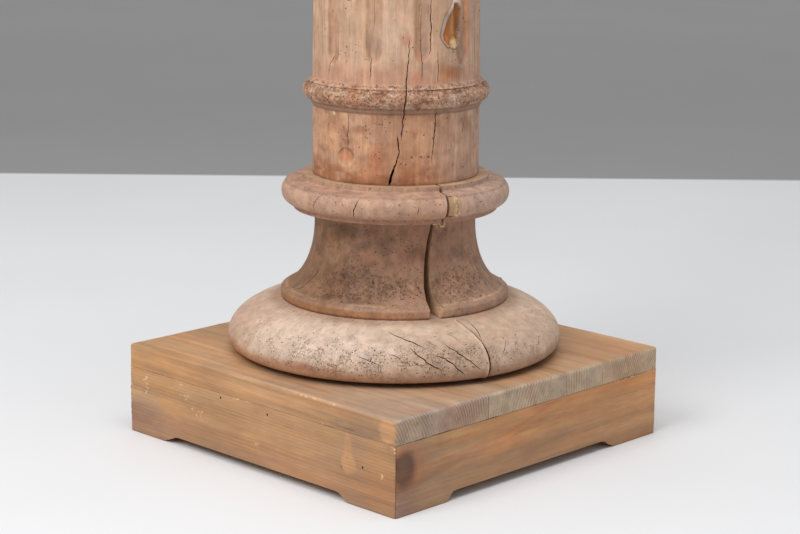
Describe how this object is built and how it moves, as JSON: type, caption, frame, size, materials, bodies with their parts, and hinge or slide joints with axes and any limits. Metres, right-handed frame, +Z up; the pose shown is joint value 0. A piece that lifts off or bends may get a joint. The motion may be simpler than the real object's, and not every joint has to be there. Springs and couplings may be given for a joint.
{
  "type": "floor candlestick",
  "caption": "Floor-standing wooden candlestick: fluted column on an Attic base and square plinth, with an iron pricket and a loose brass drip pan.",
  "frame": {"origin": "on the floor, under the middle of the plinth", "axes": "+Z up along the column's axis; -Y is the plinth's front side, X and Y run along the plinth's sides"},
  "size_m": [0.44, 0.44, 1.6],
  "materials": {
    "turned_wood": "bare old wood with worn whitewash",
    "plinth_wood": "waxed pine",
    "filler_wood": "bare",
    "steel": "dull zinc",
    "iron": "forged and blackened",
    "brass": "aged"
  },
  "bodies": {
    "root": {"back_pin_1": "steel", "back_pin_2": "steel", "base_dowel_1": "turned_wood", "base_dowel_2": "turned_wood", "base_dowel_3": "turned_wood", "base_scotia_ring": "turned_wood", "base_torus_ring": "turned_wood", "candle_plate": "turned_wood", "capital": "turned_wood", "coach_screw": "steel", "coach_washer": "steel", "corner_block_1": "plinth_wood", "corner_block_2": "plinth_wood", "corner_block_3": "plinth_wood", "corner_block_4": "plinth_wood", "fluted_shaft": "turned_wood", "front_pin_1": "steel", "front_pin_2": "steel", "front_pin_3": "steel", "left_pin_1": "steel", "left_pin_2": "steel", "plate_screw_1": "steel", "plate_screw_2": "steel", "plate_screw_3": "steel", "plinth_rail_back": "plinth_wood", "plinth_rail_front": "plinth_wood", "plinth_rail_left": "plinth_wood", "plinth_rail_right": "plinth_wood", "plinth_side_back": "plinth_wood", "plinth_side_front": "plinth_wood", "plinth_side_left": "plinth_wood", "plinth_side_right": "plinth_wood", "plinth_top_board_1": "plinth_wood", "plinth_top_board_2": "plinth_wood", "plinth_top_board_3": "plinth_wood", "plinth_top_board_4": "plinth_wood", "pricket": "iron", "right_pin_1": "steel", "right_pin_2": "steel", "split_filler": "filler_wood", "top_batten_1": "plinth_wood", "top_batten_1_screw_1": "steel", "top_batten_1_screw_2": "steel", "top_batten_2": "plinth_wood", "top_batten_2_screw_1": "steel", "top_batten_2_screw_2": "steel", "torus_screw_1": "steel", "torus_screw_2": "steel", "torus_screw_3": "steel", "torus_screw_4": "steel"},
    "drip_pan": {"drip_pan": "brass"}
  },
  "joints": [
    {"name": "drip_pan_lift", "type": "slide", "parent": "root", "child": "drip_pan", "axis": [0, 0, 1], "range_m": [0, 0.15]}
  ]
}
